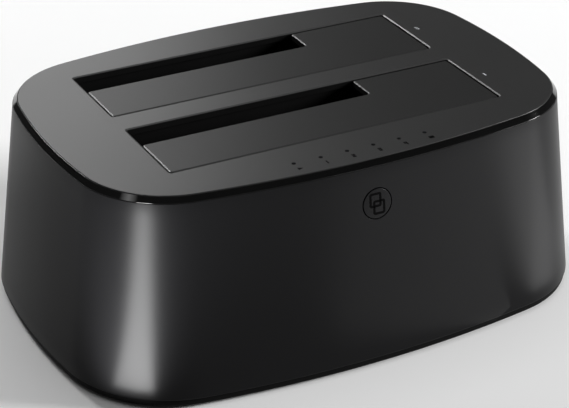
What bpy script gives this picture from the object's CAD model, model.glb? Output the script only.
"""A twin-bay dock for bare drives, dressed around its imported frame.

Lengths are millimetres in the part's own frame (+Z up, the front faces -Y). MM turns them to metres where
a mesh, a lamp or the camera is made.
"""

import bpy
import numpy as np
from mathutils import Matrix, Vector
from mathutils.geometry import tessellate_polygon


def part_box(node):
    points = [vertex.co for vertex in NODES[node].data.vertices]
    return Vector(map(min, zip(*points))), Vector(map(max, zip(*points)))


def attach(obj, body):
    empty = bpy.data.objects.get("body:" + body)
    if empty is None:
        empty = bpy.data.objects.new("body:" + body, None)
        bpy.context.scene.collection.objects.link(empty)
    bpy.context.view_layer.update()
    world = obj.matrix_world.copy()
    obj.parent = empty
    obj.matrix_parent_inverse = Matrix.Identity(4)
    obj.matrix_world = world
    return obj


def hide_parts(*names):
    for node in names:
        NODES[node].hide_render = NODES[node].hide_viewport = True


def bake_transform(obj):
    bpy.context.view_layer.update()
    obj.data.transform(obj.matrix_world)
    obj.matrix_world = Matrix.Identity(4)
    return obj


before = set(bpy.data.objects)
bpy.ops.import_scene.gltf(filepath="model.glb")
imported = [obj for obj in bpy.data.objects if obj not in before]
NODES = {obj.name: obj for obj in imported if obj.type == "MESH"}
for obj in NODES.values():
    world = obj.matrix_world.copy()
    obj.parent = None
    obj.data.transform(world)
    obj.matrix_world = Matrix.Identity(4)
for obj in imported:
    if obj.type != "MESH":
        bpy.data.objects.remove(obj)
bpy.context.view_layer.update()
MM = 0.001


def node_box(node):
    """The lowest and the highest corner of a frame node, in millimetres."""
    return np.array([list(corner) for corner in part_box(node)]) / MM


# Sizes that the frame gives
PLATE_LOW, PLATE_HIGH = node_box("top_plate")
PLATE_L, PLATE_W = (PLATE_HIGH - PLATE_LOW)[:2]
Z_TOP = PLATE_HIGH[2]
Z_BASE = node_box("base_plate")[0, 2]
Z_FLOOR = node_box("housing_shell")[0, 2]

# Body
PLATE_T = 2.0
CORNER_R = 25.5
LONG_SIDE_R = 330.0
SHORT_SIDE_R = 175.0
FLARE = 7.0
WALL = 2.4
BEVEL_OUT = 1.6
BEVEL_DROP = 1.8
TRIM_LIP = 1.0
TRIM_REBATE = 2.0
TRIM_LEDGE = 2.5
SEAT_GAP = 0.1
RIM_INSET = 0.4
RIM_ROUND = 1.0
Z_WALL = Z_TOP - BEVEL_DROP
Z_UNDER = Z_TOP - PLATE_T
DRAFT = np.arctan(FLARE / (Z_WALL - Z_BASE))

# Bays and flaps
BAY_L = 104.0
BAY_W = 29.0
BAY_PITCH = 38.0
BAY_SHIFT = 1.1
SLOT_L = 71.6
SLOT_W = 10.2
FLAP_T = 2.0
FLAP_GAP = 0.45
FLAP_SINK = 0.2
HINGE_DROP = 3.3
HINGE_AHEAD = 3.6
BAY_MIDS = {"front": BAY_SHIFT - BAY_PITCH / 2, "rear": BAY_SHIFT + BAY_PITCH / 2}

# Edges, as the moulds leave them
BAY_ROUND = 0.9
BAY_CHAMFER = (0.4, 0.23)
FLAP_ROUND = 0.8
FLAP_CHAMFER = (0.4, 0.208)
PLATE_EDGE = 0.12
WALL_EDGE = 0.1


def wall_out(z):
    """How far the outside of the wall stands out from the top plate's outline at a height."""
    return BEVEL_OUT + FLARE * (Z_WALL - z) / (Z_WALL - Z_BASE)


def body_outline():
    """Middles, radii and outward directions of the points round the top plate.

    Eight arcs run into each other: bowed side, corner, bowed side, corner and so on. A corner's middle lies
    where the circles of the two sides, each drawn in by the corner's radius, cross.
    """
    long_mid = PLATE_W / 2 - LONG_SIDE_R
    short_mid = PLATE_L / 2 - SHORT_SIDE_R
    apart = np.hypot(short_mid, long_mid)
    long_reach, short_reach = LONG_SIDE_R - CORNER_R, SHORT_SIDE_R - CORNER_R
    along = (long_reach**2 - short_reach**2 + apart**2) / (2 * apart)
    across = np.sqrt(long_reach**2 - along**2)
    way = np.array([short_mid, -long_mid]) / apart
    x, y = np.array([0, long_mid]) + along * way - across * np.array([-way[1], way[0]])
    start = np.arctan2(y, x - short_mid)
    end = np.arctan2(y - long_mid, x)
    half, whole = np.pi, 2 * np.pi
    arcs = [
        ((short_mid, 0), SHORT_SIDE_R, -start, start, 24),
        ((x, y), CORNER_R, start, end, 36),
        ((0, long_mid), LONG_SIDE_R, end, half - end, 44),
        ((-x, y), CORNER_R, half - end, half - start, 36),
        ((-short_mid, 0), SHORT_SIDE_R, half - start, half + start, 24),
        ((-x, -y), CORNER_R, half + start, half + end, 36),
        ((0, -long_mid), LONG_SIDE_R, half + end, whole - end, 44),
        ((x, -y), CORNER_R, whole - end, whole - start, 36),
    ]
    angles = [np.linspace(a, b, steps, endpoint=False) for _, _, a, b, steps in arcs]
    middles = np.concatenate([np.tile(mid, (steps, 1)) for mid, _, _, _, steps in arcs])
    radii = np.concatenate([np.full(steps, r) for _, r, _, _, steps in arcs])
    angles = np.concatenate(angles)
    return middles, radii, np.stack([np.cos(angles), np.sin(angles)], 1)


MIDDLES, RADII, WAYS = body_outline()


def body_loop(out):
    """The body's outline at a distance out from the top plate: middle + (radius + out) * direction."""
    return MIDDLES + (RADII + out)[:, None] * WAYS, WAYS


def round_loop(radius, middle=(0.0, 0.0), steps=48):
    """A circle as a loop: middle + (radius + out) * direction."""
    angles = np.linspace(0, 2 * np.pi, steps, endpoint=False)
    ways = np.stack([np.cos(angles), np.sin(angles)], 1)
    return lambda out: (np.asarray(middle) + (radius + out) * ways, ways)


def cornered_loop(corners, radius, steps=8):
    """A counter-clockwise outline with an arc in each corner, as a loop that can be moved out.

    The arc turns from the direction of the edge before the corner to that of the edge after it, about a
    middle that lies a radius inside both edges, or outside them where the corner is an inner one.
    """
    corners = np.asarray(corners, float)
    edges = np.roll(corners, -1, 0) - corners
    edges /= np.linalg.norm(edges, axis=1)[:, None]
    after = np.stack([edges[:, 1], -edges[:, 0]], 1)
    before = np.roll(after, 1, 0)
    inner = np.sum(before * after, 1)
    turn = np.arctan2(before[:, 0] * after[:, 1] - before[:, 1] * after[:, 0], inner)
    reach = np.sign(turn) * np.broadcast_to(radius, len(corners))
    middles = corners - (reach / (1 + inner))[:, None] * (before + after)
    angles = np.arctan2(before[:, 1], before[:, 0])[:, None] + turn[:, None] * np.linspace(0, 1, steps + 1)
    ways = np.stack([np.cos(angles), np.sin(angles)], 2)

    def loop(out):
        points = middles[:, None] + (reach + out)[:, None, None] * ways
        return points.reshape(-1, 2), ways.reshape(-1, 2)

    return loop


def rectangle(low, high):
    """The corners of an upright rectangle, counter-clockwise."""
    return [(low[0], low[1]), (high[0], low[1]), (high[0], high[1]), (low[0], high[1])]


def slab_levels(low, high, low_edge, high_edge, steps=6):
    """Levels of a slab whose edges are quarter rounds: distance in, height, and how it faces out and up."""
    turn = np.linspace(0, np.pi / 2, steps + 1)
    sin, cos = np.sin(turn), np.cos(turn)
    inset = np.concatenate([low_edge * (1 - sin), high_edge * (1 - cos)])
    height = np.concatenate([low + low_edge * (1 - cos), high - high_edge * (1 - sin)])
    return inset, height, np.concatenate([sin, cos]), np.concatenate([-cos, sin])


def chamfer_levels(low, high, low_edge, chamfer, soft=0.04):
    """Levels of a slab whose upper edge is a flat chamfer that runs softly into the side and the top."""
    wide, deep = chamfer
    length = np.hypot(wide, deep)
    out, up = deep / length, wide / length
    inset = [low_edge, 0, 0, soft * up, wide - soft * up, wide + soft]
    height = [low, low + low_edge, high - deep - soft, high - deep + soft * out, high - soft * out, high]
    return inset, height, [0, 1, 1, out, out, 0], [-1, 0, 0, up, up, 1]


def grid_faces(rows, columns, closed_rows):
    """Quads of a grid whose columns close on themselves, and whose rows do where closed_rows is true."""
    low = np.arange(rows if closed_rows else rows - 1)[:, None]
    here = np.arange(columns)[None]
    high, beside = (low + 1) % rows, (here + 1) % columns
    corners = [low * columns + here, low * columns + beside, high * columns + beside, high * columns + here]
    return np.stack(corners, -1).reshape(-1, 4)


class Shell:
    """Points, outward directions and faces of one piece, gathered grid by grid."""

    def __init__(self):
        self.points = np.empty((0, 3))
        self.normals = np.empty((0, 3))
        self.faces = []

    def grid(self, points, normals, closed_rows=False, inward=False):
        """Adds a grid of points and gives back the numbers of its points, row by row."""
        rows, columns = points.shape[:2]
        first = len(self.points)
        quads = first + grid_faces(rows, columns, closed_rows)
        self.faces += (quads[:, ::-1] if inward else quads).tolist()
        self.points = np.concatenate([self.points, points.reshape(-1, 3)])
        self.normals = np.concatenate([self.normals, normals.reshape(-1, 3)])
        return first + np.arange(rows * columns).reshape(rows, columns)

    def stack(self, loop, levels, hole=False):
        """A wall over a loop, level by level. A hole's wall faces inwards, and its edges open outwards."""
        sign = -1 if hole else 1
        rings = [loop(-sign * inset) for inset in levels[0]]
        points = np.empty((len(rings), len(rings[0][0]), 3))
        normals = np.empty_like(points)
        points[..., :2] = [ring[0] for ring in rings]
        points[..., 2] = np.asarray(levels[1])[:, None]
        normals[..., :2] = sign * np.asarray(levels[2])[:, None, None] * rings[0][1]
        normals[..., 2] = np.asarray(levels[3])[:, None]
        return self.grid(points, normals, inward=hole)

    def cap(self, ring, *holes, up):
        """A flat face inside a ring, with holes in it, that looks up or down."""
        if not holes:
            self.faces.append((ring if up else ring[::-1]).tolist())
            return
        rings = [ring, *holes]
        numbers = np.concatenate(rings)
        corners = tessellate_polygon([[Vector(p) for p in self.points[r]] for r in rings])
        faces = numbers[np.asarray(corners)]
        a, b, c = (self.points[faces[:, i], :2] for i in range(3))
        rising = np.cross(b - a, c - a) > 0
        faces[rising != up] = faces[rising != up][:, ::-1]
        self.faces += faces.tolist()

    def slab(self, loop, low, high, low_edge, high_edge):
        """A closed slab over a loop, with quarter-round edges and flat faces."""
        rings = self.stack(loop, slab_levels(low, high, low_edge, high_edge))
        self.cap(rings[0], up=False)
        self.cap(rings[-1], up=True)

    def swept(self, corners, radius, longest=4.0):
        """A closed section carried round the body.

        Row i and column j hold middle_j + (radius_j + out_i) * direction_j at the section's height z_i. Long
        stretches of the section are divided, so that the wall's rows stay short.
        """
        section, ways = (np.asarray(part) for part in cornered_loop(corners, radius, steps=5)(0.0))
        spans = np.linalg.norm(np.roll(section, -1, 0) - section, axis=1)
        cuts = [np.linspace(0, 1, int(span // longest) + 2)[:-1] for span in spans]
        place = np.concatenate([i + cut for i, cut in enumerate(cuts)])
        whole = np.arange(len(section) + 1)
        columns = [np.interp(place, whole, np.append(c, c[0])) for c in (*section.T, *ways.T)]
        out, height, out_way, up_way = columns
        points = np.empty((len(out), len(WAYS), 3))
        normals = np.empty_like(points)
        points[..., :2] = MIDDLES + (RADII + out[:, None])[..., None] * WAYS
        points[..., 2] = height[:, None]
        normals[..., :2] = out_way[:, None, None] * WAYS
        normals[..., 2] = up_way[:, None]
        self.grid(points, normals, closed_rows=True)

    def mesh(self, name, place=Matrix(), sharp=None):
        """The shell as a mesh in metres, moved to its place. Where sharp is an angle, edges over it are
        creased; otherwise the directions that were worked out are kept, so that the surface shades as its
        formula says."""
        turn = np.array(place.to_3x3())
        points = (self.points @ turn.T + np.array(place.translation)) * MM
        mesh = bpy.data.meshes.new(name)
        mesh.from_pydata(points.tolist(), [], self.faces)
        mesh.polygons.foreach_set("use_smooth", np.ones(len(mesh.polygons), bool))
        if sharp is None:
            mesh.normals_split_custom_set_from_vertices((self.normals @ turn.T).tolist())
        else:
            mesh.set_sharp_from_angle(angle=np.radians(sharp))
        mesh.update()
        return mesh


def outlined(shell, loop, line, low, high):
    """A flat frame: the strip between a loop and the same loop moved in by the line's width."""
    levels = ([0, 0], [low, high], [1, 1], [0, 0])
    outer = shell.stack(loop, levels)
    inner = shell.stack(lambda out: loop(out - line), levels, hole=True)
    shell.cap(outer[0], inner[0], up=False)
    shell.cap(outer[-1], inner[-1], up=True)


def add_piece(name, mesh, material, body="body", nodes=()):
    """Puts a mesh into the scene as a piece that stands for frame nodes and rides on a body, if it has one."""
    mesh.materials.append(material)
    piece = bpy.data.objects.new(name, mesh)
    bpy.context.collection.objects.link(piece)
    if body:
        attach(piece, body)
    if nodes:
        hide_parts(*nodes)
    return piece


# Materials


def linear(colour):
    """An sRGB hex colour as linear red, green, blue and alpha."""
    parts = np.array([int(colour[i : i + 2], 16) for i in (1, 3, 5)]) / 255
    low, high = parts / 12.92, ((parts + 0.055) / 1.055) ** 2.4
    return (*np.where(parts <= 0.04045, low, high).tolist(), 1.0)


def add(material, kind, inputs, **settings):
    """Adds a shader node, sets it, and fills its inputs with values or links them to outputs."""
    node = material.node_tree.nodes.new(kind)
    for name, value in settings.items():
        setattr(node, name, value)
    for name, value in inputs.items():
        if isinstance(value, bpy.types.NodeSocket):
            material.node_tree.links.new(value, node.inputs[name])
        else:
            node.inputs[name].default_value = value
    return node


def per_mm(size):
    """The texture scale, in features per metre, of a pattern whose features are this many millimetres."""
    return 1 / (size * MM)


def finish(name, tones, roughness, mottle, grain, depth, **shader):
    """A surface with its own tones, gloss and grain.

    Cloudy noise of the mottle's size mixes the two tones and moves the roughness between its two values, and
    finer noise of the grain's size lifts the surface by its depth. The shader's own sockets take the rest.
    """
    material = bpy.data.materials.new(name)
    material.use_nodes = True
    material.node_tree.nodes.clear()
    place = add(material, "ShaderNodeTexCoord", {}).outputs["Object"]
    cloud = add(material, "ShaderNodeTexNoise", {"Vector": place, "Scale": per_mm(mottle), "Detail": 3.0})
    tone = add(
        material,
        "ShaderNodeMix",
        {"Factor": cloud.outputs["Fac"], "A": linear(tones[0]), "B": linear(tones[1])},
        data_type="RGBA",
    )
    gloss = add(
        material,
        "ShaderNodeMapRange",
        {"Value": cloud.outputs["Fac"], "To Min": roughness[0], "To Max": roughness[1]},
    )
    fine = add(material, "ShaderNodeTexNoise", {"Vector": place, "Scale": per_mm(grain), "Detail": 2.0})
    relief = add(material, "ShaderNodeBump", {"Height": fine.outputs["Fac"], "Distance": depth * MM})
    principled = add(
        material,
        "ShaderNodeBsdfPrincipled",
        {
            "Base Color": tone.outputs[2],
            "Roughness": gloss.outputs["Result"],
            "Normal": relief.outputs["Normal"],
            **shader,
        },
    )
    add(material, "ShaderNodeOutputMaterial", {"Surface": principled.outputs["BSDF"]})
    return material


# ABS moulded on a finely blasted tool: black, with a satin sheen that spreads a lamp into a soft glow
satin_abs = finish(
    "satin_moulded_abs", ("#0d0d0e", "#101011"), (0.33, 0.37), 30.0, 0.35, 0.002,
    **{"IOR": 1.5, "Specular IOR Level": 0.1},
)
# The base's ABS, moulded on a coarser tool: a dull black band under the wall
base_abs = finish(
    "coarse_moulded_abs", ("#070707", "#0a0a0a"), (0.5, 0.6), 20.0, 0.5, 0.004,
    **{"IOR": 1.5, "Specular IOR Level": 0.06},
)
# ABS moulded on a spark-eroded tool: a matt charcoal that lightens towards a lamp behind it
matt_abs = finish(
    "matt_moulded_abs", ("#292929", "#2c2c2c"), (0.31, 0.35), 40.0, 0.3, 0.003,
    **{"IOR": 1.5, "Specular IOR Level": 0.5},
)
# The same plastic from the flaps' own tool, a shade darker
flap_abs = finish(
    "matt_flap_abs", ("#252525", "#282828"), (0.31, 0.35), 40.0, 0.3, 0.003,
    **{"IOR": 1.5, "Specular IOR Level": 0.22},
)
# ABS moulded on a polished tool: piano black that mirrors the room
gloss_abs = finish(
    "polished_moulded_abs", ("#040404", "#060606"), (0.05, 0.08), 25.0, 2.0, 0.0005,
    **{"IOR": 1.5, "Specular IOR Level": 0.5},
)
# Glass-filled nylon inside: dull black with a dry, slightly uneven face
inner_nylon = finish(
    "dull_filled_nylon", ("#070707", "#0b0b0b"), (0.6, 0.72), 6.0, 0.4, 0.006,
    **{"IOR": 1.53, "Specular IOR Level": 0.05},
)
# Pressed rubber: soft black that hardly shines
foot_rubber = finish(
    "pressed_rubber", ("#161616", "#1e1e1e"), (0.7, 0.85), 3.0, 0.25, 0.01,
    **{"IOR": 1.52, "Specular IOR Level": 0.3},
)
# Zinc-plated steel: bright grey with a faint cloud in its gloss
zinc_steel = finish(
    "zinc_plated_steel", ("#b4b7bb", "#c6c9cc"), (0.22, 0.36), 1.5, 0.2, 0.002, Metallic=1.0
)
# Blackened steel screws: dark metal with worn, shinier patches
black_steel = finish(
    "blackened_steel", ("#2b2c2e", "#45474a"), (0.28, 0.45), 1.2, 0.15, 0.002, Metallic=1.0
)
# Nickel-plated sheet: warm silver, nearly a mirror
nickel_sheet = finish(
    "nickel_plated_sheet", ("#c3beb5", "#d2cdc4"), (0.14, 0.24), 3.0, 0.3, 0.001, Metallic=1.0
)
# Drawn aluminium cans: pale, softly brushed metal
drawn_aluminium = finish(
    "drawn_aluminium", ("#c8cacc", "#dadcde"), (0.26, 0.38), 1.0, 0.15, 0.002, Metallic=1.0
)
# Gold flash on phosphor bronze: yellow and bright
gold_flash = finish(
    "gold_flashed_bronze", ("#c99b45", "#dcb25c"), (0.18, 0.3), 0.8, 0.1, 0.0005, Metallic=1.0
)
# Glass-fibre board under green solder mask: deep green, glossy, with the weave just felt
masked_board = finish(
    "solder_masked_fibreglass", ("#0d3a22", "#17512f"), (0.22, 0.34), 2.2, 0.5, 0.004,
    **{"IOR": 1.55, "Specular IOR Level": 0.5},
)
# Moulded epoxy round a chip: grey-black and stony
moulded_epoxy = finish(
    "moulded_epoxy", ("#17181a", "#222427"), (0.5, 0.65), 1.0, 0.12, 0.004,
    **{"IOR": 1.55, "Specular IOR Level": 0.4},
)
# Liquid-crystal polymer of the sockets: smooth dense black
socket_polymer = finish(
    "moulded_crystal_polymer", ("#0e0e10", "#161618"), (0.35, 0.48), 4.0, 0.3, 0.003,
    **{"IOR": 1.6, "Specular IOR Level": 0.4},
)
# Cast resin of a light: milky yellow
lamp_resin = finish(
    "cast_lamp_resin", ("#e6dfbb", "#f1ecd2"), (0.2, 0.3), 0.8, 0.2, 0.001, **{"IOR": 1.54}
)
# Smoked acrylic of the light guide: dark until lit, with a polished end
smoked_acrylic = finish(
    "smoked_cast_acrylic", ("#0b0b0d", "#121214"), (0.05, 0.1), 2.0, 0.5, 0.0005, **{"IOR": 1.49}
)
# Ribbon of soft vinyl: pale grey, waxy
vinyl_ribbon = finish(
    "extruded_vinyl", ("#9a9da0", "#aeb1b4"), (0.42, 0.55), 3.0, 0.6, 0.01, **{"IOR": 1.53}
)
# Pad-printing ink: dead flat black
pad_ink = finish(
    "pad_printed_ink", ("#020202", "#040404"), (0.7, 0.8), 0.6, 0.15, 0.001,
    **{"IOR": 1.5, "Specular IOR Level": 0.03},
)
# Pale pad-printing ink
pale_ink = finish(
    "pale_pad_printed_ink", ("#b9bcc0", "#c9ccd0"), (0.45, 0.55), 0.6, 0.15, 0.001, **{"IOR": 1.5}
)

NODE_FINISHES = {
    inner_nylon: ["front_bay_well", "rear_bay_well", "power_plunger", "tact_plunger"],
    zinc_steel: ["front_flap_pin", "rear_flap_pin", "tact_switch", "crystal", "power_jack_pin"],
    masked_board: ["main_board", "button_board", "led_board"],
    socket_polymer: ["front_drive_socket", "rear_drive_socket", "usb_port_tongue", "power_jack",
                     "power_switch", "ribbon_sockets"],
    gold_flash: ["front_socket_contacts", "rear_socket_contacts", "board_header"],
    moulded_epoxy: ["bridge_chip", "memory_chip", "inductors"],
    drawn_aluminium: ["capacitors"],
    nickel_sheet: ["usb_port"],
    lamp_resin: ["indicator_leds"],
    smoked_acrylic: ["light_guide"],
    vinyl_ribbon: ["ribbon_cable"],
    black_steel: ["base_screws", "plate_screws", "bay_screws", "main_board_screws",
                  "button_board_screws", "led_board_screws"],
}
for material, names in NODE_FINISHES.items():
    for name in names:
        NODES[name].data.materials.clear()
        NODES[name].data.materials.append(material)


# Housing, with its button hole at the front and its sockets at the back
BUTTON_R = 4.3
BUTTON_CLEAR = 0.25
BUTTON_DOWN = 12.4
SIDE_GAP = 0.3
HOLE_EDGE = 0.12
CUT_DEEP = 9.0
Z_BUTTON = Z_TOP - BUTTON_DOWN
FRONT_WALL = Matrix.Translation((0, -(PLATE_W / 2 + wall_out(Z_BUTTON)), Z_BUTTON)) @ Matrix.Rotation(
    np.pi / 2 - DRAFT, 4, "X"
)
USB_LOW, USB_HIGH = node_box("usb_port")
JACK_LOW, JACK_HIGH = node_box("power_jack")
CAP_LOW, CAP_HIGH = node_box("power_button")
CAP_ROUND = 1.0
JACK_COLLAR_R = 4.35


def rear_y(x, z):
    """How far back the outside of the rear wall is at a place along it and a height."""
    return PLATE_W / 2 - LONG_SIDE_R + np.sqrt((LONG_SIDE_R + wall_out(z)) ** 2 - x**2)


def facing_back(x, z):
    """The frame of a socket on the rear wall: X to the left seen from behind, Y up, Z out of the wall."""
    turned = Matrix.Rotation(np.pi, 4, "Z") @ Matrix.Rotation(np.pi / 2, 4, "X")
    return Matrix.Translation((x, rear_y(x, z), z)) @ turned


def cutter(loop, place):
    """A plug that cuts a hole with a small chamfer at the face of the wall."""
    shell = Shell()
    reach = CUT_DEEP
    levels = ([0, 0, -reach], [-reach, -HOLE_EDGE, reach - HOLE_EDGE], [1, 1, 1], [0, 0, 0])
    rings = shell.stack(loop, levels)
    shell.cap(rings[0], up=False)
    shell.cap(rings[-1], up=True)
    return shell.mesh("cutter", place, sharp=30)


def middle_of(low, high):
    """The middle of a box seen from behind: its place along X and its height."""
    return (low[0] + high[0]) / 2, (low[2] + high[2]) / 2


def housing():
    """The flared wall: a closed section carried round the body, with four holes cut through it."""
    inner_top = wall_out(Z_WALL - TRIM_REBATE) - WALL
    lip = BEVEL_OUT - TRIM_LIP
    shell = Shell()
    shell.swept(
        [
            (wall_out(Z_FLOOR), Z_FLOOR),
            (BEVEL_OUT, Z_WALL),
            (lip, Z_WALL),
            (lip, Z_WALL - TRIM_REBATE),
            (inner_top, Z_WALL - TRIM_REBATE),
            (wall_out(Z_FLOOR) - WALL, Z_FLOOR),
        ],
        [0.4, WALL_EDGE, 0.1, 0.1, 0.1, 0.2],
    )
    piece = add_piece("housing_wall", shell.mesh("housing_wall", sharp=24), satin_abs,
                      nodes=["housing_shell"])
    usb_x, usb_z = middle_of(USB_LOW, USB_HIGH)
    cap_x, cap_z = middle_of(CAP_LOW, CAP_HIGH)
    jack_x = middle_of(JACK_LOW, JACK_HIGH)[0]
    jack_z = node_box("power_jack_pin")[:, 2].mean()
    usb_half = (USB_HIGH - USB_LOW)[[0, 2]] / 2 + SIDE_GAP
    cap_half = (CAP_HIGH - CAP_LOW)[[0, 2]] / 2 + BUTTON_CLEAR
    plugs = [
        cutter(round_loop(BUTTON_R + BUTTON_CLEAR, steps=64), FRONT_WALL),
        cutter(round_loop(JACK_COLLAR_R + SIDE_GAP, steps=64), facing_back(jack_x, jack_z)),
        cutter(cornered_loop(rectangle(-usb_half, usb_half), 0.5), facing_back(usb_x, usb_z)),
        cutter(cornered_loop(rectangle(-cap_half, cap_half), CAP_ROUND), facing_back(cap_x, cap_z)),
    ]
    for plug in plugs:
        tool = bpy.data.objects.new("cutter", plug)
        bpy.context.collection.objects.link(tool)
        cut = piece.modifiers.new("cut", "BOOLEAN")
        cut.operation = "DIFFERENCE"
        cut.solver = "EXACT"
        cut.object = tool
        graph = bpy.context.evaluated_depsgraph_get()
        piece.data = bpy.data.meshes.new_from_object(piece.evaluated_get(graph))
        piece.modifiers.clear()
        bpy.data.objects.remove(tool)
    piece.data.set_sharp_from_angle(angle=np.radians(24))


def trim():
    """The bevelled trim: a closed section carried round the body between the wall and the top plate."""
    lip = BEVEL_OUT - TRIM_LIP - SEAT_GAP
    shell = Shell()
    shell.swept(
        [
            (BEVEL_OUT, Z_WALL),
            (SEAT_GAP, Z_TOP),
            (SEAT_GAP, Z_UNDER),
            (-TRIM_LEDGE, Z_UNDER),
            (-TRIM_LEDGE, Z_WALL - TRIM_REBATE),
            (lip, Z_WALL - TRIM_REBATE),
            (lip, Z_WALL),
        ],
        [0.12, 0.1, 0.05, 0.1, 0.1, 0.1, 0.05],
    )
    add_piece("bevel_band", shell.mesh("bevel_band"), gloss_abs, nodes=["bevel_trim"])


LINER_IN = 0.04
LINER_T = 0.14
LINER_DOWN = 0.32
LED_COUNT = 6
LED_PITCH = 8.15
LED_HOLE_R = 0.62
LED_EDGE = 7.05
LED_Y = LED_EDGE - PLATE_W / 2
LED_XS = (np.arange(LED_COUNT) - (LED_COUNT - 1) / 2) * LED_PITCH


def bay_corners(mid):
    """The corners of a bay's opening."""
    return rectangle((-BAY_L / 2, mid - BAY_W / 2), (BAY_L / 2, mid + BAY_W / 2))


def liners():
    """A thin sleeve inside each bay's opening, which hides the cut edge of the top plate."""
    shell = Shell()
    for mid in BAY_MIDS.values():
        opening = cornered_loop(bay_corners(mid), BAY_ROUND)
        outlined(shell, lambda out: opening(out - LINER_IN), LINER_T, Z_UNDER, Z_TOP - LINER_DOWN)
    add_piece("bay_liners", shell.mesh("bay_liners", sharp=30), inner_nylon)


def plate():
    """The top plate: a slab over the body's outline, with openings for the bays and the indicator lights."""
    shell = Shell()
    rim = shell.stack(body_loop, slab_levels(Z_UNDER, Z_TOP, 0.1, PLATE_EDGE))
    holes = [
        shell.stack(
            cornered_loop(bay_corners(mid), BAY_ROUND), chamfer_levels(Z_UNDER, Z_TOP, 0.1, BAY_CHAMFER),
            hole=True,
        )
        for mid in BAY_MIDS.values()
    ]
    holes += [
        shell.stack(
            round_loop(LED_HOLE_R, (x, LED_Y), 20), slab_levels(Z_UNDER, Z_TOP, 0.05, 0.08, 3), hole=True
        )
        for x in LED_XS
    ]
    shell.cap(rim[0], *(hole[0] for hole in holes), up=False)
    shell.cap(rim[-1], *(hole[-1] for hole in holes), up=True)
    add_piece("top_panel", shell.mesh("top_panel"), matt_abs, nodes=["top_plate"])


KNUCKLE_R = 2.25
BORE_R = 1.05
ARM_W = 8.0
ARM_LAND = 1.6
ARM_TIP_T = 0.2
ARM_ROOT_TURN = np.radians(35)
Z_FLAP = Z_TOP - FLAP_SINK - FLAP_T
Z_AXIS = Z_UNDER - HINGE_DROP
AXIS_AHEAD = BAY_W / 2 + HINGE_AHEAD
KNUCKLE_X = BAY_L / 2 - FLAP_GAP - ARM_W


def flap(side):
    """A flap: an L-shaped slab with round edges, and two hinge arms under its front edge."""
    mid = BAY_MIDS[side]
    end = BAY_L / 2 - FLAP_GAP
    front, back = mid - BAY_W / 2 + FLAP_GAP, mid + BAY_W / 2 - FLAP_GAP
    slot_front = mid + BAY_W / 2 - SLOT_W
    slot_end = SLOT_L - BAY_L / 2
    corners = [
        (-end, front), (end, front), (end, back), (slot_end, back), (slot_end, slot_front), (-end, slot_front)
    ]
    shell = Shell()
    levels = chamfer_levels(Z_FLAP, Z_TOP - FLAP_SINK, 0.2, FLAP_CHAMFER)
    rings = shell.stack(cornered_loop(corners, FLAP_ROUND), levels)
    shell.cap(rings[0], up=False)
    shell.cap(rings[-1], up=True)
    add_piece(f"{side}_flap_panel", shell.mesh(f"{side}_flap_panel"), flap_abs,
              f"{side}_flap", [f"{side}_flap"])
    arms = Shell()
    for start in (-KNUCKLE_X - ARM_W, KNUCKLE_X):
        hinge_arm(arms, start)
    place = Matrix.Translation((0, mid - AXIS_AHEAD, Z_AXIS)) @ Matrix.Rotation(
        np.pi / 2, 4, "X") @ Matrix.Rotation(np.pi / 2, 4, "Y")
    add_piece(f"{side}_flap_arms", arms.mesh(f"{side}_flap_arms", place, sharp=30), flap_abs,
              f"{side}_flap")


def hinge_arm(shell, start):
    """An arm, drawn in Y and Z from the hinge axis and carried along X: a round knuckle with a bore, and a
    web that leaves it at the top and reaches the underside of the flap."""
    reach = HINGE_AHEAD + FLAP_GAP
    rise = Z_FLAP - Z_AXIS
    turn = np.linspace(np.pi / 2, 2 * np.pi - ARM_ROOT_TURN, 33)
    knuckle = KNUCKLE_R * np.stack([np.cos(turn), np.sin(turn)], 1)
    web = [(reach + ARM_LAND, rise - ARM_TIP_T), (reach + ARM_LAND, rise), (reach, rise)]
    profile = np.concatenate([knuckle, web])
    levels = ([0, 0], [start, start + ARM_W], [1, 1], [0, 0])
    outside = shell.stack(lambda out: (profile, profile), levels)
    bore = shell.stack(round_loop(BORE_R, steps=32), levels, hole=True)
    shell.cap(outside[0], bore[0], up=False)
    shell.cap(outside[-1], bore[-1], up=True)


SPRING_R = 1.5
SPRING_WIRE = 0.5
SPRING_PITCH = 0.95
SPRING_TURNS = 5
SPRING_SIDE = 0.6
SPRING_UNDER = 0.3
FLAP_LEG_STEPS = 5
PLATE_LEG_STEPS = 4
SPRING_FROM = SPRING_SIDE - KNUCKLE_X
SPRING_TO = SPRING_FROM + SPRING_PITCH * SPRING_TURNS
FLAP_LEG = (SPRING_FROM, HINGE_AHEAD + FLAP_GAP + ARM_LAND - SPRING_SIDE, Z_FLAP - Z_AXIS - SPRING_UNDER)
PLATE_LEG = (SPRING_TO, -KNUCKLE_R - SIDE_GAP, HINGE_DROP - SPRING_UNDER)


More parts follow.
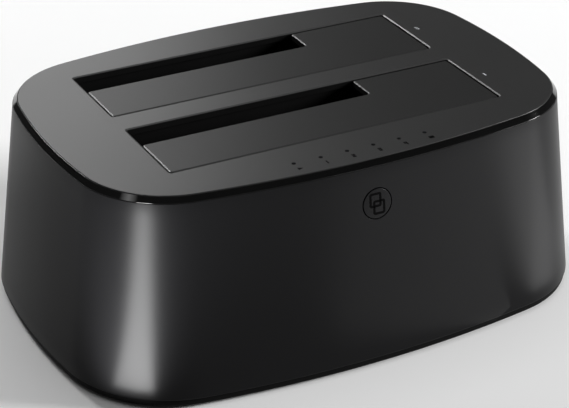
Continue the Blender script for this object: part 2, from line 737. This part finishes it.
def spring(side):
    """A flap spring: a round wire carried along a straight leg under the flap, a helix round the hinge, which
    is (start + pitch * turns, radius * cos(a), radius * sin(a)), and a leg under the top plate."""
    axis = np.array([0, BAY_MIDS[side] - AXIS_AHEAD, Z_AXIS])
    turns = np.linspace(0, SPRING_TURNS, 20 * SPRING_TURNS + 1)
    a = 2 * np.pi * (turns + 0.25)
    coil = np.stack([SPRING_FROM + SPRING_PITCH * turns, SPRING_R * np.cos(a), SPRING_R * np.sin(a)], 1)
    flap_leg = np.linspace(FLAP_LEG, coil[0], FLAP_LEG_STEPS + 1)[:-1]
    plate_leg = np.linspace(coil[-1], PLATE_LEG, PLATE_LEG_STEPS + 1)[1:]
    path = np.concatenate([flap_leg, coil, plate_leg])
    along = np.gradient(path, axis=0)
    along /= np.linalg.norm(along, axis=1)[:, None]
    out = np.zeros_like(path)
    out[:, 2] = 1
    out[FLAP_LEG_STEPS:-PLATE_LEG_STEPS, 1:] = coil[:, 1:] / SPRING_R
    out -= np.sum(out * along, 1)[:, None] * along
    out /= np.linalg.norm(out, axis=1)[:, None]
    round_wire = np.linspace(0, 2 * np.pi, 10, endpoint=False)[:, None]
    normals = np.cos(round_wire) * out[:, None] + np.sin(round_wire) * np.cross(along, out)[:, None]
    shell = Shell()
    rings = shell.grid(path[:, None] + SPRING_WIRE / 2 * normals, normals)
    shell.cap(rings[0], up=False)
    shell.cap(rings[-1], up=True)
    mesh = shell.mesh(f"{side}_spring_wire", Matrix.Translation(axis), sharp=60)
    piece = add_piece(mesh.name, mesh, zinc_steel, None, [f"{side}_flap_spring"])
    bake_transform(piece)


FOOT_R = 6.0
FOOT_T = 1.8
FOOT_PROUD = 0.8
HEAD_R = 2.3
SCREW_R = 1.25
HOLE_GAP = 0.2
HEAD_SINK = 1.9
FEET_AT = node_box("rubber_feet")[1, :2] - FOOT_R
SCREWS_AT = node_box("base_screws")[1, :2] - HEAD_R
QUARTERS = np.array([(1, 1), (-1, 1), (-1, -1), (1, -1)])


def base():
    """The base: a slab under the wall with a round lower edge, pockets for the feet and screw holes."""
    shell = Shell()
    rim = wall_out(Z_FLOOR) - RIM_INSET
    rings = shell.stack(lambda out: body_loop(rim + out), slab_levels(Z_BASE, Z_FLOOR, RIM_ROUND, 0.2))
    pockets, holes = [], []
    for quarter in QUARTERS:
        pocket = shell.stack(
            round_loop(FOOT_R + SEAT_GAP, quarter * FEET_AT),
            ([0.2, 0, 0], [Z_BASE, Z_BASE + 0.2, Z_BASE + FOOT_T - FOOT_PROUD], [0, 1, 1], [-1, 0, 0]),
            hole=True,
        )
        shell.cap(pocket[-1], up=False)
        pockets.append(pocket[0])
        step = HEAD_R - SCREW_R
        ledge = Z_BASE + HEAD_SINK
        hole = shell.stack(
            round_loop(HEAD_R + HOLE_GAP, quarter * SCREWS_AT),
            ([0.2, 0, 0, -step, -step], [Z_BASE, Z_BASE + 0.2, ledge, ledge, Z_FLOOR],
             [0, 1, 1, 1, 1], [-1, 0, 0, 0, 0]),
            hole=True,
        )
        pockets.append(hole[0])
        holes.append(hole[-1])
    shell.cap(rings[0], *pockets, up=False)
    shell.cap(rings[-1], *holes, up=True)
    add_piece("base_tray", shell.mesh("base_tray", sharp=24), base_abs, nodes=["base_plate"])


def feet():
    """Four round pads with soft edges."""
    shell = Shell()
    for quarter in QUARTERS:
        shell.slab(round_loop(FOOT_R, quarter * FEET_AT), 0, FOOT_T, 0.4, 0.1)
    add_piece("foot_pads", shell.mesh("foot_pads"), foot_rubber, nodes=["rubber_feet"])


FLANGE_W = 1.2
FLANGE_T = 1.2
FLANGE_GAP = 0.15
FLANGE_R = BUTTON_R + FLANGE_W
FLANGE_BACK = WALL * np.cos(DRAFT) + FLANGE_GAP + FLANGE_T
STEM_R = 1.8
STEM_BACK = 6.2
BUTTON_EDGE = 0.15


def button():
    """The clone button: a turned cap with a round edge, a flange behind the wall and a stem."""
    shell = Shell()
    turn = np.linspace(0, np.pi / 2, 7)
    radius = np.concatenate([[STEM_R, STEM_R, FLANGE_R, FLANGE_R, BUTTON_R],
                             BUTTON_R - BUTTON_EDGE * (1 - np.cos(turn))])
    height = np.concatenate([[-STEM_BACK, -FLANGE_BACK, -FLANGE_BACK, FLANGE_T - FLANGE_BACK,
                              FLANGE_T - FLANGE_BACK], -BUTTON_EDGE * (1 - np.sin(turn))])
    flat = np.zeros_like(radius)
    rings = shell.stack(round_loop(0.0, steps=64), (-radius, height, flat, flat))
    shell.cap(rings[0], up=False)
    shell.cap(rings[-1], up=True)
    add_piece("clone_button_cap", shell.mesh("clone_button_cap", FRONT_WALL, sharp=24), satin_abs,
              "clone_button", ["clone_button"])


INK_T = 0.03
COPY_HALF = np.array([1.87, 2.12])
COPY_SHIFT = np.array([0.55, -1.1])
COPY_LINE = 0.68
FIGURE_H = 1.7
FIGURE_W = 1.0
FIGURE_LINE = 0.4
FIGURE_STROKES = {
    1: [(0, -1, 0, 1)],
    2: [(-1, 1, 1, 1), (1, 0, 1, 1), (-1, 0, 1, 0), (-1, -1, -1, 0), (-1, -1, 1, -1)],
    3: [(-1, 1, 1, 1), (1, -1, 1, 1), (-1, 0, 1, 0), (-1, -1, 1, -1)],
    4: [(-1, 0, -1, 1), (1, -1, 1, 1), (-1, 0, 1, 0)],
}
LIGHT_MARK_SHIFT = np.array([0.25, -3.3])
BAY_MARK_X = 56.0


def copy_mark():
    """Two upright frames, one partly behind the other: a common sign for copying."""
    shell = Shell()
    for sign in (-1, 1):
        mid = sign * COPY_SHIFT
        loop = cornered_loop(rectangle(mid - COPY_HALF, mid + COPY_HALF), 0.7)
        outlined(shell, loop, COPY_LINE, 0.0, INK_T)
    add_piece("copy_mark", shell.mesh("copy_mark", FRONT_WALL, sharp=30), pad_ink,
              "clone_button")


def figure(shell, number, middle):
    """A plain printed number: thin flat strokes on the top plate."""
    scale = np.array([FIGURE_W - FIGURE_LINE, FIGURE_H - FIGURE_LINE]) / 2
    for stroke in np.array(FIGURE_STROKES[number]).reshape(-1, 2, 2) * scale + middle:
        loop = cornered_loop(rectangle(stroke[0] - FIGURE_LINE / 2, stroke[1] + FIGURE_LINE / 2), 0.05, 2)
        shell.slab(loop, Z_TOP, Z_TOP + INK_T, 0.0, 0.01)


def light_marks():
    """A mark in front of each indicator light: an arrow head, the numbers of the four quarters and a frame."""
    shell = Shell()
    places = np.stack([LED_XS, np.full(LED_COUNT, LED_Y)], 1) + LIGHT_MARK_SHIFT
    arrow = [(-0.7, -0.7), (0.85, 0), (-0.7, 0.7)]
    shell.slab(cornered_loop(np.array(arrow) + places[0], 0.05, 2), Z_TOP, Z_TOP + INK_T, 0.0, 0.01)
    for number in FIGURE_STROKES:
        figure(shell, number, places[number])
    half = np.array([0.8, 0.65])
    loop = cornered_loop(rectangle(places[-1] - half, places[-1] + half), 0.15, 3)
    outlined(shell, loop, FIGURE_LINE, Z_TOP, Z_TOP + INK_T)
    add_piece("light_marks", shell.mesh("light_marks", sharp=30), pad_ink)


def bay_marks():
    """The number of each bay, printed at its end."""
    shell = Shell()
    for number, mid in enumerate(BAY_MIDS.values(), 1):
        figure(shell, number, (BAY_MARK_X, mid))
    add_piece("bay_marks", shell.mesh("bay_marks", sharp=30), pale_ink)


def power_cap():
    """The power button: a slab with round corners and a softly rounded face."""
    x, z = middle_of(CAP_LOW, CAP_HIGH)
    half = (CAP_HIGH - CAP_LOW)[[0, 2]] / 2
    long = CAP_HIGH[1] - CAP_LOW[1]
    place = Matrix.Translation((x, CAP_LOW[1], z)) @ Matrix.Rotation(np.pi, 4, "Z") @ Matrix.Rotation(
        np.pi / 2, 4, "X")
    shell = Shell()
    shell.slab(cornered_loop(rectangle(-half, half), CAP_ROUND), 0, long, 0.1, 0.5)
    add_piece("power_cap", shell.mesh("power_cap", place), satin_abs, "power_button",
              ["power_button"])
    power_mark(place @ Matrix.Translation((0, 0, long)))


SIGN_R = 1.3
SIGN_LINE = 0.3
SIGN_GAP = np.radians(38)
SIGN_BAR = (0.1, 1.55)


def power_mark(place):
    """The common sign for power: a ring that is open at the top, and a bar that stands in the opening."""
    turn = np.linspace(np.pi / 2 + SIGN_GAP, 5 * np.pi / 2 - SIGN_GAP, 41)
    ways = np.stack([np.cos(turn), np.sin(turn)], 1)
    ring = np.concatenate([(SIGN_R + SIGN_LINE / 2) * ways, (SIGN_R - SIGN_LINE / 2) * ways[::-1]])
    bar = np.array(rectangle((-SIGN_LINE / 2, SIGN_BAR[0]), (SIGN_LINE / 2, SIGN_BAR[1])))
    shell = Shell()
    for outline in (ring, bar):
        strip = shell.stack(lambda out: (outline, outline), ([0, 0], [0.0, INK_T], [1, 1], [0, 0]))
        shell.cap(strip[0], up=False)
        shell.cap(strip[-1], up=True)
    add_piece("power_mark", shell.mesh("power_mark", place, sharp=30), pale_ink,
              "power_button")


# Scene: floor, light and camera
FLOOR_HALF = 4000.0
AIM = np.array([0.0, 0.0, 30.0])
EYE = np.array([-237.66, -444.25, 236.2]) + [0, 0, Z_TOP]
EYE_RIGHT = (0.88367, -0.46808, 0.00617)
EYE_UP = (0.21890, 0.42483, 0.87841)
EYE_BACK = (-0.41378, -0.77487, 0.47787)
FRONT_CORNER = np.array([1, -1, 1]) * [*np.abs(MIDDLES[RADII == CORNER_R][0]), 26.0]
FRONT_MIDDLE = np.array([0, -PLATE_W / 2 - wall_out(FRONT_CORNER[2]), FRONT_CORNER[2]])
STRIP_OUT = 61.0
STRIP_L = 62.0
STRIP_LEAN = 39.0
STRIP_SPREAD = np.radians(90)
SENSOR = 36.0
LENS = 122.2


def floor():
    """A wide pale sheet under the object."""
    corners = np.array([(-1, -1, 0), (1, -1, 0), (1, 1, 0), (-1, 1, 0)]) * FLOOR_HALF * MM
    mesh = bpy.data.meshes.new("floor")
    mesh.from_pydata(corners.tolist(), [], [(0, 1, 2, 3)])
    # Seamless studio paper: white, matt
    mesh.materials.append(
        finish("studio_paper", ("#f4f4f4", "#f6f6f6"), (0.85, 0.95), 60.0, 1.0, 0.0,
               **{"Specular IOR Level": 0.1})
    )
    sheet = bpy.data.objects.new("floor", mesh)
    bpy.context.collection.objects.link(sheet)


def lamp_at(name, place, turn, width, height, glow):
    """A soft lamp. Its glow is how bright its face is, where white paper under plain light is 1."""
    lamp = bpy.data.lights.new(name, "AREA")
    lamp.shape = "RECTANGLE"
    lamp.size, lamp.size_y = width * MM, height * MM
    lamp.energy = glow * np.pi * lamp.size * lamp.size_y
    holder = bpy.data.objects.new(name, lamp)
    holder.matrix_world = Matrix.Translation(Vector(place) * MM) @ turn
    holder.visible_camera = False
    bpy.context.collection.objects.link(holder)
    return lamp


def compass(azimuth, elevation=0.0):
    """A direction: azimuth 0 is straight back and 90 to the right, and elevation is up from level."""
    turn, rise = np.radians([azimuth, elevation])
    return np.array([np.cos(rise) * np.sin(turn), np.cos(rise) * np.cos(turn), np.sin(rise)])


def softbox(name, azimuth, elevation, distance, width, height, glow, aim=AIM):
    """A soft lamp on a stand that looks at a place on the object."""
    way = compass(azimuth, elevation)
    turn = Vector(-way).to_track_quat("-Z", "Y").to_matrix().to_4x4()
    return lamp_at(name, aim + distance * way, turn, width, height, glow)


def wall_strip(name, place, azimuth, away, width, glow):
    """A short strip lamp with a grid that leans back in front of the wall, which mirrors it from top to
    bottom. It stands away from a place in or on the body, in a direction."""
    turn = Vector(-compass(azimuth, -STRIP_LEAN)).to_track_quat("-Z", "Y").to_matrix().to_4x4()
    lamp_at(name, place + away * compass(azimuth), turn, width, STRIP_L, glow).spread = STRIP_SPREAD


def lights():
    """A key from the right, boxes above and behind, a rim lamp, strips by the wall, a small lamp that the
    bevel mirrors at its left front corner, and a dim room."""
    softbox("key_box", 117, 18, 2500, 660, 660, 68.0)
    softbox("high_box", 0, 89.9, 2000, 2000, 2000, 0.93)
    softbox("back_box", 6, 26, 1300, 740, 500, 2.6)
    softbox("rim_lamp", -10, 35.5, 1300, 160, 240, 42.0)
    wall_strip("left_strip", FRONT_CORNER * [-1, 1, 1], -133, STRIP_OUT, 17, 16.0)
    wall_strip("right_strip", FRONT_CORNER, 140, STRIP_OUT, 30, 1.6)
    wall_strip("front_strip", FRONT_MIDDLE + [12, 0, 0], 148, 34, 56, 0.3)
    bevel = FRONT_CORNER * [-1, 1, 0] + (CORNER_R + BEVEL_OUT / 2) * compass(-132)
    bevel[2] = Z_TOP - BEVEL_DROP / 2
    softbox("bevel_lamp", -102, 44.6, 160, 46, 46, 0.019, bevel).spread = np.radians(17)
    world = bpy.data.worlds.new("room")
    world.use_nodes = True
    world.node_tree.nodes["Background"].inputs["Color"].default_value = linear("#ffffff")
    world.node_tree.nodes["Background"].inputs["Strength"].default_value = 0.06
    bpy.context.scene.world = world


def camera():
    """The photograph's view point, direction and lens."""
    lens = bpy.data.cameras.new("camera")
    lens.sensor_width = SENSOR
    lens.lens = LENS
    lens.clip_end = 100
    holder = bpy.data.objects.new("camera", lens)
    turn = Matrix((EYE_RIGHT, EYE_UP, EYE_BACK)).transposed().to_4x4()
    holder.matrix_world = Matrix.Translation(EYE * MM) @ turn
    bpy.context.collection.objects.link(holder)
    bpy.context.scene.camera = holder


housing()
trim()
liners()
plate()
flap("front")
flap("rear")
spring("front")
spring("rear")
base()
feet()
button()
copy_mark()
light_marks()
bay_marks()
power_cap()
floor()
lights()
camera()
bpy.context.scene.view_settings.view_transform = "Standard"
